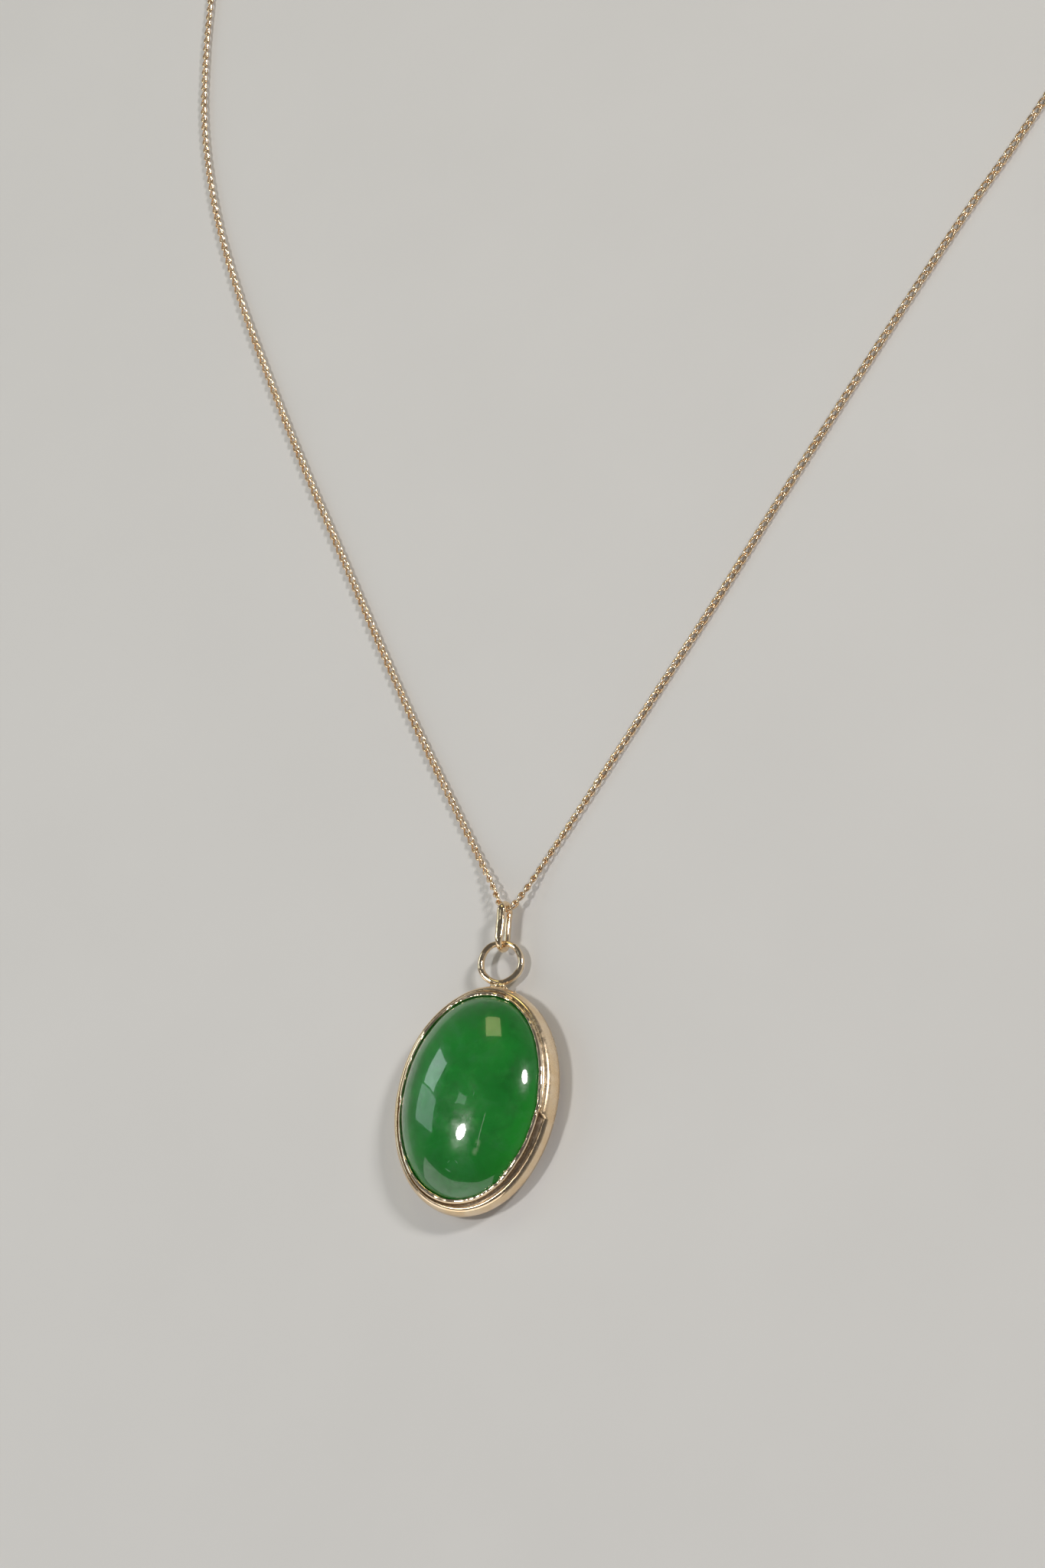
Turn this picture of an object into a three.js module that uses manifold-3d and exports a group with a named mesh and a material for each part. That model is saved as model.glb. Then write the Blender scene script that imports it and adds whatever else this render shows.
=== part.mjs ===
// Pendant necklace: an oval cabochon pendant on a fine curb chain with a spring-ring clasp.
// Millimetres. +Z up, out of the front of the stone. +Y from the pendant to its hanging ring, +X to the wearer's left.
// The necklace lies on its back on the plane z = 0, its clasp undone. The origin is the middle of the back plate.
import * as THREE from "three";
import { mergeVertices } from "three/addons/utils/BufferGeometryUtils.js";
import Module from "manifold-3d";

const wasm = await Module();
wasm.setup();

// ---- driving dimensions ----
const STONE_A = 9.25; // half length of the stone (along Y)
const STONE_B = 6.75; // half width of the stone (along X)
const STONE_BASE = 1.15; // underside of the stone
const STONE_GIRDLE = 1.9; // where the dome starts
const STONE_TOP = 5.3; // top of the dome
const SEGMENTS = 56; // steps around the oval
const PLATE_T = 0.45; // back plate thickness
const FRAME_OUT = 0.9; // the frame wire's outermost line, outside the stone's girdle
const FRAME_MID = 1.35; // height of that line
const RING_R = 1.8; // hanging ring, to the middle of its wire
const RING_WIRE = 0.275; // radius of that wire
const RING_Y = 12.45;
const RING_Z = 1.1;
const RING_TURN = (12 * Math.PI) / 180; // the ring is soldered on slightly turned about Y
const LINK_WIRE = 0.285; // bail link wire radius
const LINK_BOTTOM = 13.65; // middle of the wire, inside the hanging ring
const LINK_TOP = 17.7; // middle of the wire, over the chain
const LINK_HALF = 0.82; // half the distance between its two legs
const LINK_Z = 1.22;
const CHAIN_R = 0.31; // chain, half its width
const JUMP_R = 1.3; // end rings
const JUMP_WIRE = 0.2;
const LEFT_LEAN = (30 * Math.PI) / 180;
const RIGHT_LEAN = (20 * Math.PI) / 180;
const LEFT_RING_X = -8.9;
const RIGHT_RING_X = 10.5;
const EYE_R = 1.0; // clasp eye
const EYE_WIRE = 0.2;
const EYE_Z = 0.8;
const CLASP_R = 2.15; // clasp ring, to the middle of its tube
const CLASP_TUBE = 0.6; // its tube, outside
const CLASP_BORE = 0.42; // and inside
const BOLT_R = 0.32;
const GAP_FROM = 25; // the clasp's opening, degrees about its centre
const GAP_TO = 80;
const CATCH_R = 1.7;
const CATCH_WIRE = 0.25;
const CATCH_TILT = (16 * Math.PI) / 180;
const CATCH_Z = 0.75;

// the chain's route, from the bail link to each end
const ROUTE_LEFT = [
  [-0.5, 17.03, 1.2], [-0.86, 17.26, 1.19], [-1.1, 17.8, 1.13], [-2.24, 19.5, 0.81], [-4.03, 21.87, 0.41],
  [-5.99, 24.64, 0.37], [-9.46, 29.54, 0.37], [-14.0, 36.12, 0.37], [-19.46, 44.5, 0.37], [-24.86, 52.92, 0.37],
  [-30.25, 61.34, 0.37], [-35.44, 69.89, 0.37], [-40.41, 78.56, 0.37], [-44.83, 87.52, 0.37], [-48.12, 96.96, 0.37],
  [-49.62, 104.81, 0.37], [-50.4, 111.5, 0.37], [-51.4, 120.0, 0.37], [-52.0, 132.0, 0.37], [-51.2, 145.0, 0.37],
  [-47.2, 155.2, 0.37], [-39.6, 159.8, 0.37], [-31.6, 156.4, 0.37], [-27.6, 147.2, 0.37], [-25.2, 135.0, 0.37],
  [-20.8, 125.4, 0.37], [-14.2, 122.0, 0.37], [-10.2, 122.0, 0.37],
];
const ROUTE_RIGHT = [
  [-0.2, 17.03, 1.2], [0.16, 17.26, 1.19], [0.5, 17.86, 1.12], [1.27, 19.56, 0.72], [2.12, 21.56, 0.43],
  [3.9, 24.92, 0.37], [6.71, 30.22, 0.37], [10.42, 37.3, 0.37], [15.04, 46.17, 0.37], [19.49, 55.12, 0.37],
  [24.04, 64.03, 0.37], [28.64, 72.89, 0.37], [33.35, 81.7, 0.37], [37.35, 88.62, 0.37], [43.1, 99.4, 0.37],
  [48.0, 108.9, 0.37], [52.0, 120.0, 0.37], [54.2, 132.5, 0.37], [53.4, 145.0, 0.37], [48.6, 155.0, 0.37],
  [40.6, 159.8, 0.37], [32.2, 157.6, 0.37], [27.2, 149.6, 0.37], [24.8, 138.6, 0.37], [22.0, 128.0, 0.37],
  [16.6, 122.4, 0.37], [11.8, 122.0, 0.37],
];
const END_Y = 122.0; // both chain ends lie on this line

// ---- materials ----
const gold = new THREE.MeshStandardMaterial({ color: 0xd9b98a, roughness: 0.22, metalness: 1 });
const chainGold = new THREE.MeshStandardMaterial({ color: 0xdcb98c, roughness: 0.28, metalness: 1 });
const jade = new THREE.MeshStandardMaterial({ color: 0x1f6b2c, roughness: 0.12, metalness: 0 });
const springSteel = new THREE.MeshStandardMaterial({ color: 0x8d8f92, roughness: 0.35, metalness: 1 });

// ---- helpers ----
const rad = (d) => (d * Math.PI) / 180;

function welded(geometry) {
  const g = geometry.index ? geometry.toNonIndexed() : geometry.clone();
  g.deleteAttribute("normal");
  g.deleteAttribute("uv");
  return mergeVertices(g, 1e-5);
}

function solid(geometry) {
  const g = welded(geometry);
  return new wasm.Manifold(
    new wasm.Mesh({
      numProp: 3,
      vertProperties: new Float32Array(g.attributes.position.array),
      triVerts: new Uint32Array(g.index.array),
    }),
  );
}

function fromSolid(manifold) {
  const m = manifold.getMesh();
  const g = new THREE.BufferGeometry();
  g.setAttribute("position", new THREE.BufferAttribute(new Float32Array(m.vertProperties), 3));
  g.setIndex(new THREE.BufferAttribute(new Uint32Array(m.triVerts), 1));
  g.computeVertexNormals();
  return g;
}

function named(name, geometry, material) {
  const mesh = new THREE.Mesh(geometry, material);
  mesh.name = name;
  return mesh;
}

// a lathe about Z: profile of [radius, z]
function lathe(profile, segments) {
  const g = new THREE.LatheGeometry(profile.map(([r, z]) => new THREE.Vector2(r, z)), segments);
  g.rotateX(Math.PI / 2); // the lathe turns about Y; its axis becomes Z
  return g;
}

// a closed profile of [offset, z] carried around the oval of the stone's girdle at a constant offset
function ovalBand(profile) {
  const base = 100;
  const g = lathe([...profile, profile[0]].map(([o, z]) => [base + o, z]), SEGMENTS);
  const p = g.attributes.position;
  for (let i = 0; i < p.count; i += 1) {
    const x = p.getX(i);
    const y = p.getY(i);
    const t = Math.atan2(y, x);
    const o = Math.hypot(x, y) - base;
    const nx = Math.cos(t) / STONE_B;
    const ny = Math.sin(t) / STONE_A;
    const n = Math.hypot(nx, ny);
    p.setXY(i, STONE_B * Math.cos(t) + (o * nx) / n, STONE_A * Math.sin(t) + (o * ny) / n);
  }
  return welded(g);
}

// a profile of [offset, z] from the axis to the axis, scaled to the oval
function ovalSolid(profile) {
  const g = lathe(profile, SEGMENTS);
  g.scale(STONE_B / STONE_A, 1, 1);
  return welded(g);
}

function wireRing(radius, wire, around = 24, sides = 8) {
  return welded(new THREE.TorusGeometry(radius, wire, sides, around));
}

// part of a ring of round wire, about Z, angles in degrees
class Arc extends THREE.Curve {
  constructor(radius, from, to) {
    super();
    this.radius = radius;
    this.from = rad(from);
    this.to = rad(to);
  }
  getPoint(t, out = new THREE.Vector3()) {
    const a = this.from + t * (this.to - this.from);
    return out.set(this.radius * Math.cos(a), this.radius * Math.sin(a), 0);
  }
  getPointAt(t, out) {
    return this.getPoint(t, out);
  }
  getTangentAt(t, out = new THREE.Vector3()) {
    const a = this.from + t * (this.to - this.from);
    return out.set(-Math.sin(a), Math.cos(a), 0);
  }
}

function circle(radius, sides) {
  const points = [];
  for (let i = 0; i < sides; i += 1) {
    const a = ((i + 0.5) / sides) * 2 * Math.PI;
    points.push(new THREE.Vector2(radius * Math.cos(a), radius * Math.sin(a)));
  }
  return new THREE.Shape(points);
}

function arcWire(radius, wire, from, to, steps, sides = 12) {
  return new THREE.ExtrudeGeometry(circle(wire, sides), {
    steps,
    bevelEnabled: false,
    extrudePath: new Arc(radius, from, to),
  });
}

// a route followed at chosen places, close together where it bends
class Route extends THREE.Curve {
  constructor(points, wanted) {
    super();
    const spline = new THREE.CatmullRomCurve3(points.map((p) => new THREE.Vector3(...p)), false, "centripetal");
    const dense = spline.getPoints(4000);
    const stations = [0];
    let run = 0;
    let turn = 0;
    let last = dense[1].clone().sub(dense[0]).normalize();
    const cost = [0];
    for (let i = 1; i < dense.length; i += 1) {
      const step = dense[i].clone().sub(dense[i - 1]);
      run += step.length();
      step.normalize();
      turn += last.angleTo(step);
      last = step;
      cost.push(turn / 0.24 + run / 11);
    }
    const total = cost[cost.length - 1];
    let j = 0;
    for (let k = 1; k < wanted; k += 1) {
      while (cost[j] < (total * k) / wanted) j += 1;
      stations.push(j);
    }
    stations.push(dense.length - 1);
    this.points = stations.map((s) => dense[s].clone());
    this.tangents = stations.map((s) => {
      const a = dense[Math.max(0, s - 2)];
      const b = dense[Math.min(dense.length - 1, s + 2)];
      return b.clone().sub(a).normalize();
    });
    this.runLength = run;
  }
  getPoint(t, out = new THREE.Vector3()) {
    return out.copy(this.points[Math.round(t * (this.points.length - 1))]);
  }
  getPointAt(t, out) {
    return this.getPoint(t, out);
  }
  getTangentAt(t, out = new THREE.Vector3()) {
    return out.copy(this.tangents[Math.round(t * (this.tangents.length - 1))]);
  }
}

function chainTube(points, steps) {
  return new THREE.ExtrudeGeometry(circle(CHAIN_R, 8), {
    steps,
    bevelEnabled: false,
    extrudePath: new Route(points, steps),
  });
}

const group = new THREE.Group();

// ---- pendant ----
// stone: flat base, short upright girdle, high dome
const dome = [];
for (let i = 0; i <= 10; i += 1) {
  const a = (i / 10) * (Math.PI / 2);
  const c = Math.cos(a);
  const s = Math.sin(a);
  dome.push([i === 10 ? 0 : STONE_A * c ** 0.92, STONE_GIRDLE + (STONE_TOP - STONE_GIRDLE) * s ** 1.12]);
}
group.add(named("stone_cabochon", ovalSolid([[0, STONE_BASE], [STONE_A - 0.35, STONE_BASE], [STONE_A, STONE_BASE + 0.3], ...dome]), jade));

// back plate: bevelled towards the back
group.add(
  named(
    "back_plate",
    ovalSolid([[0, 0], [STONE_A + 0.02, 0], [STONE_A + 0.26, 0.16], [STONE_A + 0.26, PLATE_T], [0, PLATE_T]]),
    gold,
  ),
);

// bearing that the stone stands on
group.add(named("bezel_seat", ovalBand([[-1.05, 0.52], [-0.06, 0.52], [-0.06, STONE_BASE - 0.07], [-1.05, STONE_BASE - 0.07]]), gold));

// bezel strip: upright wall, its top edge turned in over the stone
group.add(
  named(
    "bezel_cup",
    ovalBand([
      [0.06, 0.52], [0.36, 0.52], [0.36, 2.2], [0.3, 2.5], [0.14, 2.78], [-0.1, 2.95], [-0.24, 2.92], [-0.2, 2.76],
      [0.0, 2.5], [0.06, 2.3],
    ]),
    gold,
  ),
);

// half-round frame wire around the bezel strip
const frameProfile = [];
for (let i = 0; i <= 6; i += 1) {
  const a = -Math.PI / 2 + (i / 6) * Math.PI;
  frameProfile.push([0.44 + (FRAME_OUT - 0.44) * Math.cos(a), FRAME_MID + 0.8 * Math.sin(a)]);
}
const frameGeometry = ovalBand(frameProfile);
group.add(named("bezel_frame", frameGeometry, gold));

// hanging ring
const ringGeometry = wireRing(RING_R, RING_WIRE, 28, 10);
ringGeometry.rotateY(RING_TURN);
ringGeometry.translate(0, RING_Y, RING_Z);
group.add(named("hanging_ring", ringGeometry, gold));

// solder between ring and frame: a small lump, hollowed where the ring and the frame pass
const lump = new THREE.SphereGeometry(1, 14, 10);
lump.scale(0.62, 0.3, 0.42);
lump.translate(0.12, STONE_A + FRAME_OUT + 0.1, RING_Z + 0.12);
const ringGrown = wireRing(RING_R, RING_WIRE + 0.04, 28, 10);
ringGrown.rotateY(RING_TURN);
ringGrown.translate(0, RING_Y, RING_Z);
const frameGrown = ovalBand(
  frameProfile.map(([o, z]) => [o + 0.04 * Math.sign(o - 0.45), FRAME_MID + (z - FRAME_MID) * 1.05]),
);
const lumpSolid = solid(lump).subtract(solid(ringGrown)).subtract(solid(frameGrown));
const lumpParts = lumpSolid.decompose().sort((a, b) => b.volume() - a.volume());
group.add(named("ring_solder", fromSolid(lumpParts[0]), gold));

// ---- bail link: long oval ring standing across the hanging ring ----
const linkHalfLength = (LINK_TOP - LINK_BOTTOM) / 2;
const linkPath = [];
for (let i = 0; i < 40; i += 1) {
  // two half circles joined by straight legs, by equal steps of length
  const legs = 2 * (linkHalfLength - LINK_HALF);
  const total = 2 * Math.PI * LINK_HALF + 2 * legs;
  let s = (i / 40) * total;
  let y;
  let z;
  if (s < Math.PI * LINK_HALF) {
    const a = s / LINK_HALF;
    y = LINK_TOP - LINK_HALF + LINK_HALF * Math.sin(a);
    z = LINK_HALF * Math.cos(a);
  } else if (s < Math.PI * LINK_HALF + legs) {
    y = LINK_TOP - LINK_HALF - (s - Math.PI * LINK_HALF);
    z = -LINK_HALF;
  } else if (s < 2 * Math.PI * LINK_HALF + legs) {
    const a = (s - Math.PI * LINK_HALF - legs) / LINK_HALF;
    y = LINK_BOTTOM + LINK_HALF - LINK_HALF * Math.sin(a);
    z = -LINK_HALF * Math.cos(a);
  } else {
    s -= 2 * Math.PI * LINK_HALF + legs;
    y = LINK_BOTTOM + LINK_HALF + s;
    z = LINK_HALF;
  }
  linkPath.push(new THREE.Vector3(-0.05 - (0.3 * (y - LINK_BOTTOM)) / (LINK_TOP - LINK_BOTTOM), y, LINK_Z + z));
}
const linkCurve = new THREE.CatmullRomCurve3(linkPath, true, "centripetal");
group.add(named("bail_link", welded(new THREE.TubeGeometry(linkCurve, 34, LINK_WIRE, 10, true)), gold));

// ---- chain ----
group.add(named("chain_left", welded(chainTube(ROUTE_LEFT, 40)), chainGold));
group.add(named("chain_right", welded(chainTube(ROUTE_RIGHT, 40)), chainGold));

// ---- left end: end ring, clasp ----
function endRing(x, y, lean) {
  const g = wireRing(JUMP_R, JUMP_WIRE, 24, 8);
  g.rotateX(Math.PI / 2 + lean); // stands on its edge and leans over
  g.translate(x, y, JUMP_R * Math.cos(lean) + JUMP_WIRE + 0.01);
  return g;
}
group.add(named("end_ring_left", endRing(LEFT_RING_X, END_Y - 0.5, LEFT_LEAN), gold));
group.add(named("end_ring_right", endRing(RIGHT_RING_X, END_Y - 0.375, RIGHT_LEAN), gold));

const eyeX = LEFT_RING_X + 0.9;
const eyeY = END_Y - 0.1;
const claspX = eyeX + EYE_R + EYE_WIRE + 0.05 + CLASP_TUBE + CLASP_R;
const claspZ = CLASP_TUBE + 0.01;
const eye = wireRing(EYE_R, EYE_WIRE, 20, 8);
eye.translate(eyeX, eyeY, EYE_Z);
group.add(named("clasp_eye", eye, gold));

const claspGroup = new THREE.Group();
claspGroup.position.set(claspX, eyeY, claspZ);
group.add(claspGroup);

const shell = solid(arcWire(CLASP_R, CLASP_TUBE, GAP_TO, 360 + GAP_FROM, 26, 12));
const bore = solid(arcWire(CLASP_R, CLASP_BORE, -168, GAP_FROM + 8, 20, 12));
const slotSolids = [];
{
  // slot for the thumb tab, through the outer wall
  const slot = new THREE.Shape();
  slot.moveTo((CLASP_R + 0.1) * Math.cos(rad(-116)), (CLASP_R + 0.1) * Math.sin(rad(-116)));
  slot.absarc(0, 0, CLASP_R + 0.9, rad(-116), rad(-46), false);
  slot.absarc(0, 0, CLASP_R + 0.1, rad(-46), rad(-116), true);
  const g = new THREE.ExtrudeGeometry(slot, { depth: 0.5, bevelEnabled: false, curveSegments: 8 });
  g.translate(0, 0, -0.25);
  slotSolids.push(solid(g));
}
claspGroup.add(named("clasp_body", fromSolid(shell.subtract(bore).subtract(slotSolids[0])), gold));

const boltArc = solid(arcWire(CLASP_R, BOLT_R, -59, GAP_TO - 2, 14, 8));
const tab = new THREE.CylinderGeometry(0.17, 0.2, 1.25, 12);
tab.translate(0, CLASP_R + 0.62, 0);
tab.rotateZ(rad(-54 - 90));
const knob = new THREE.SphereGeometry(0.3, 10, 7);
knob.translate(0, CLASP_R + 1.3, 0);
knob.rotateZ(rad(-54 - 90));
claspGroup.add(named("clasp_bolt", fromSolid(boltArc.add(solid(tab)).add(solid(knob))), gold));
claspGroup.add(named("clasp_spring", welded(arcWire(CLASP_R, 0.28, -166, -117, 8, 10)), springSteel));

// ---- right end: catch ring, tipped so that it passes through its end ring ----
const catchRing = wireRing(CATCH_R, CATCH_WIRE, 26, 8);
catchRing.rotateY(-CATCH_TILT);
catchRing.translate(RIGHT_RING_X - 1.6, END_Y - 0.175, CATCH_Z);
group.add(named("catch_ring", catchRing, gold));

export default group;
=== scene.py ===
import math
import random

import bpy
import numpy as np
from mathutils import Matrix, Vector, noise


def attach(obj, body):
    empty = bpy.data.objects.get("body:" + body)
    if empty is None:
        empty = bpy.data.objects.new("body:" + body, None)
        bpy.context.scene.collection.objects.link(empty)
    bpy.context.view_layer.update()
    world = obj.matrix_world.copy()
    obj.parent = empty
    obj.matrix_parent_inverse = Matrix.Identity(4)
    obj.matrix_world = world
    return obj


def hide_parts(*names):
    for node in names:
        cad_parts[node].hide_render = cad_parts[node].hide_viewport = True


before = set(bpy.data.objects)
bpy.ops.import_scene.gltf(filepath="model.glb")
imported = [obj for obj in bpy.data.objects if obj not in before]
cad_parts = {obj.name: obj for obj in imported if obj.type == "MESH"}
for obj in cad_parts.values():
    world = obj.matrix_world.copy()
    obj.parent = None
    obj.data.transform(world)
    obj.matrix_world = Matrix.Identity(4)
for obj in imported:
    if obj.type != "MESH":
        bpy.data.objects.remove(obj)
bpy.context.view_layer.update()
MM = 0.001
rng = random.Random(7)

# ------------------------------------------------------------------ camera
cam_data = bpy.data.cameras.new("camera")
cam_data.sensor_fit = "VERTICAL"
cam_data.sensor_height = 36.0
cam_data.sensor_width = 36.0
cam_data.lens = 100.0
cam_data.clip_start = 0.01
cam_data.clip_end = 20.0
cam = bpy.data.objects.new("camera", cam_data)
bpy.context.scene.collection.objects.link(cam)
AX = Vector((0.8828, 0.1540, -0.4438)).normalized()
AZ = Vector((0.4698, -0.2968, 0.8314))
AZ = (AZ - AX * AX.dot(AZ)).normalized()
AY = AZ.cross(AX)
M = Matrix((AX, AY, AZ)).transposed().to_4x4()
M.translation = Vector((0.17825, -0.08427, 0.31792))
cam.matrix_world = M
bpy.context.scene.camera = cam


# ------------------------------------------------------------------ mesh helpers
def signed_volume(v, faces):
    total = 0.0
    for f in faces:
        a = v[f[0]]
        for i in range(1, len(f) - 1):
            total += float(np.dot(a, np.cross(v[f[i]], v[f[i + 1]])))
    return total


def build(name, verts, faces, mat, body, nodes=(), smooth=True, orient=True):
    """A mesh object from points in millimetres."""
    verts = np.asarray(verts, float) * MM
    faces = [tuple(int(i) for i in f) for f in faces]
    if orient and signed_volume(verts - verts.mean(0), faces) < 0:
        faces = [f[::-1] for f in faces]
    me = bpy.data.meshes.new(name)
    me.from_pydata(verts.tolist(), [], faces)
    me.validate(clean_customdata=False)
    me.update()
    if smooth:
        me.polygons.foreach_set("use_smooth", [True] * len(me.polygons))
    o = bpy.data.objects.new(name, me)
    bpy.context.scene.collection.objects.link(o)
    if mat:
        me.materials.append(mat)
    if body:
        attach(o, body)
    if nodes:
        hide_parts(*nodes)
    return o


def sharp_by_angle(o, degrees):
    me = o.data
    me.set_sharp_from_angle(angle=math.radians(degrees))


def grid(P, close_u, close_v, cap0=False, cap1=False, skip=None):
    nu, nv = P.shape[:2]
    V = P.reshape(-1, 3)
    F = []
    for i in range(nu if close_u else nu - 1):
        i2 = (i + 1) % nu
        for j in range(nv if close_v else nv - 1):
            if skip is not None and skip(i, j):
                continue
            j2 = (j + 1) % nv
            F.append((i * nv + j, i * nv + j2, i2 * nv + j2, i2 * nv + j))
    if cap0:
        F.append(tuple(range(nv))[::-1])
    if cap1:
        F.append(tuple((nu - 1) * nv + j for j in range(nv)))
    return V, F


def join(parts):
    V, F, n = [], [], 0
    for v, f in parts:
        V.append(np.asarray(v, float))
        F += [tuple(i + n for i in q) for q in f]
        n += len(v)
    return np.concatenate(V), F


def frames_along(C, closed=False, first=None):
    """Tangents and a turning-free pair of normals along a line of points."""
    C = np.asarray(C, float)
    n = len(C)
    if closed:
        T = np.roll(C, -1, 0) - np.roll(C, 1, 0)
    else:
        T = np.gradient(C, axis=0)
    T /= np.linalg.norm(T, axis=1)[:, None]
    a = np.array(first if first is not None else ((0, 0, 1) if abs(T[0][2]) < 0.9 else (1, 0, 0)), float)
    N = np.zeros_like(C)
    v = a - T[0] * (a @ T[0])
    N[0] = v / np.linalg.norm(v)
    for i in range(1, n):
        v = N[i - 1] - T[i] * (N[i - 1] @ T[i])
        N[i] = v / np.linalg.norm(v)
    if closed:  # spread the turn that is left over
        v = N[-1] - T[0] * (N[-1] @ T[0])
        v /= np.linalg.norm(v)
        ang = math.atan2(float(np.dot(np.cross(v, N[0]), T[0])), float(v @ N[0]))
        for i in range(n):
            a = ang * i / n
            B = np.cross(T[i], N[i])
            N[i] = N[i] * math.cos(a) + B * math.sin(a)
    return T, N, np.cross(T, N)


def tube(C, radius, sides, closed=False, first=None, cap="flat", shape=None):
    """A tube of round wire. radius is a number or one per point; shape(i, angle) scales it."""
    C = np.asarray(C, float)
    T, N, B = frames_along(C, closed, first)
    r = np.full(len(C), radius, float) if np.isscalar(radius) else np.asarray(radius, float)
    ph = np.linspace(0, 2 * math.pi, sides, endpoint=False)
    P = np.zeros((len(C), sides, 3))
    for i in range(len(C)):
        k = np.ones(sides) if shape is None else shape(i, ph)
        P[i] = C[i] + (r[i] * k * np.cos(ph))[:, None] * N[i] + (r[i] * k * np.sin(ph))[:, None] * B[i]
    if closed:
        return grid(P, True, True)
    if cap == "round":
        head, tail = [], []
        for s in (0.35, 0.65, 0.87, 0.97):
            a = math.asin(s)
            head.append(C[0] - T[0] * r[0] * s + (P[0] - C[0]) * math.cos(a))
            tail.append(C[-1] + T[-1] * r[-1] * s + (P[-1] - C[-1]) * math.cos(a))
        P = np.concatenate([np.array(head[::-1]), P, np.array(tail)])
    return grid(P, False, True, True, True)


def wobble(p, scale, seed=0.0):
    return noise.noise(Vector((p[0] * scale + seed, p[1] * scale - seed * 0.7, p[2] * scale + seed * 1.3)))


# ------------------------------------------------------------------ the chain's route (as in the CAD source), mm
ROUTE_LEFT = [
    [-0.5, 17.03, 1.2], [-0.86, 17.26, 1.19], [-1.1, 17.8, 1.13], [-2.24, 19.5, 0.81], [-4.03, 21.87, 0.41],
    [-5.99, 24.64, 0.37], [-9.46, 29.54, 0.37], [-14.0, 36.12, 0.37], [-19.46, 44.5, 0.37], [-24.86, 52.92, 0.37],
    [-30.25, 61.34, 0.37], [-35.44, 69.89, 0.37], [-40.41, 78.56, 0.37], [-44.83, 87.52, 0.37], [-48.12, 96.96, 0.37],
    [-49.62, 104.81, 0.37], [-50.4, 111.5, 0.37], [-51.4, 120.0, 0.37], [-52.0, 132.0, 0.37], [-51.2, 145.0, 0.37],
    [-47.2, 155.2, 0.37], [-39.6, 159.8, 0.37], [-31.6, 156.4, 0.37], [-27.6, 147.2, 0.37], [-25.2, 135.0, 0.37],
    [-20.8, 125.4, 0.37], [-14.2, 122.0, 0.37], [-10.2, 122.0, 0.37],
]
ROUTE_RIGHT = [
    [-0.2, 17.03, 1.2], [0.16, 17.26, 1.19], [0.5, 17.86, 1.12], [1.27, 19.56, 0.72], [2.12, 21.56, 0.43],
    [3.9, 24.92, 0.37], [6.71, 30.22, 0.37], [10.42, 37.3, 0.37], [15.04, 46.17, 0.37], [19.49, 55.12, 0.37],
    [24.04, 64.03, 0.37], [28.64, 72.89, 0.37], [33.35, 81.7, 0.37], [37.35, 88.62, 0.37], [43.1, 99.4, 0.37],
    [48.0, 108.9, 0.37], [52.0, 120.0, 0.37], [54.2, 132.5, 0.37], [53.4, 145.0, 0.37], [48.6, 155.0, 0.37],
    [40.6, 159.8, 0.37], [32.2, 157.6, 0.37], [27.2, 149.6, 0.37], [24.8, 138.6, 0.37], [22.0, 128.0, 0.37],
    [16.6, 122.4, 0.37], [11.8, 122.0, 0.37],
]


def catmull(points, per=160):
    """Centripetal Catmull-Rom through the points."""
    P = np.asarray(points, float)
    P = np.vstack([2 * P[0] - P[1], P, 2 * P[-1] - P[-2]])
    out = []
    for i in range(1, len(P) - 2):
        x0, x1, x2, x3 = P[i - 1], P[i], P[i + 1], P[i + 2]
        d0, d1, d2 = (math.sqrt(np.linalg.norm(b - a)) for a, b in ((x0, x1), (x1, x2), (x2, x3)))
        t1 = ((x1 - x0) / d0 - (x2 - x0) / (d0 + d1) + (x2 - x1) / d1) * d1
        t2 = ((x2 - x1) / d1 - (x3 - x1) / (d1 + d2) + (x3 - x2) / d2) * d1
        s = np.linspace(0, 1, per, endpoint=False)[:, None]
        out.append(
            x1 + t1 * s + (-3 * x1 + 3 * x2 - 2 * t1 - t2) * s**2 + (2 * x1 - 2 * x2 + t1 + t2) * s**3
        )
    out.append(P[-2][None])
    return np.concatenate(out)


def run_of(C):
    return np.r_[0, np.cumsum(np.linalg.norm(np.diff(C, axis=0), axis=1))]


LEFT = catmull(ROUTE_LEFT)
RIGHT = catmull(ROUTE_RIGHT)

# ------------------------------------------------------------------ chain of real curb links
PITCH = 0.892
LINK_A = 0.573  # half length, to the middle of the wire
LINK_B = 0.2575
LINK_W = 0.1035  # wire radius; neighbouring links stay clear of each other
TWIST = (math.pi / 2) / PITCH
NU, NV = 22, 8


def curb_link(a=LINK_A, b=LINK_B, w=LINK_W, twist=TWIST, nu=NU, nv=NV, power=3.0):
    """One link about its own middle: x along the chain, y across, z through."""
    t = np.linspace(0, 2 * math.pi, nu, endpoint=False) + math.pi / nu
    c, s = np.cos(t), np.sin(t)
    x = a * np.sign(c) * np.abs(c) ** (2 / power)
    y = b * np.sign(s) * np.abs(s) ** (2 / power)
    C = np.stack([x, y * np.cos(twist * x), y * np.sin(twist * x)], 1)
    T, N, B = frames_along(C, True, (0, 0, 1))
    ph = np.linspace(0, 2 * math.pi, nv, endpoint=False)
    P = C[:, None] + w * (np.cos(ph)[None, :, None] * N[:, None] + np.sin(ph)[None, :, None] * B[:, None])
    return P.reshape(-1, 3)


def link_faces(nu=NU, nv=NV):
    return [
        (i * nv + j, i * nv + (j + 1) % nv, ((i + 1) % nu) * nv + (j + 1) % nv, ((i + 1) % nu) * nv + j)
        for i in range(nu)
        for j in range(nv)
    ]


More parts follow.
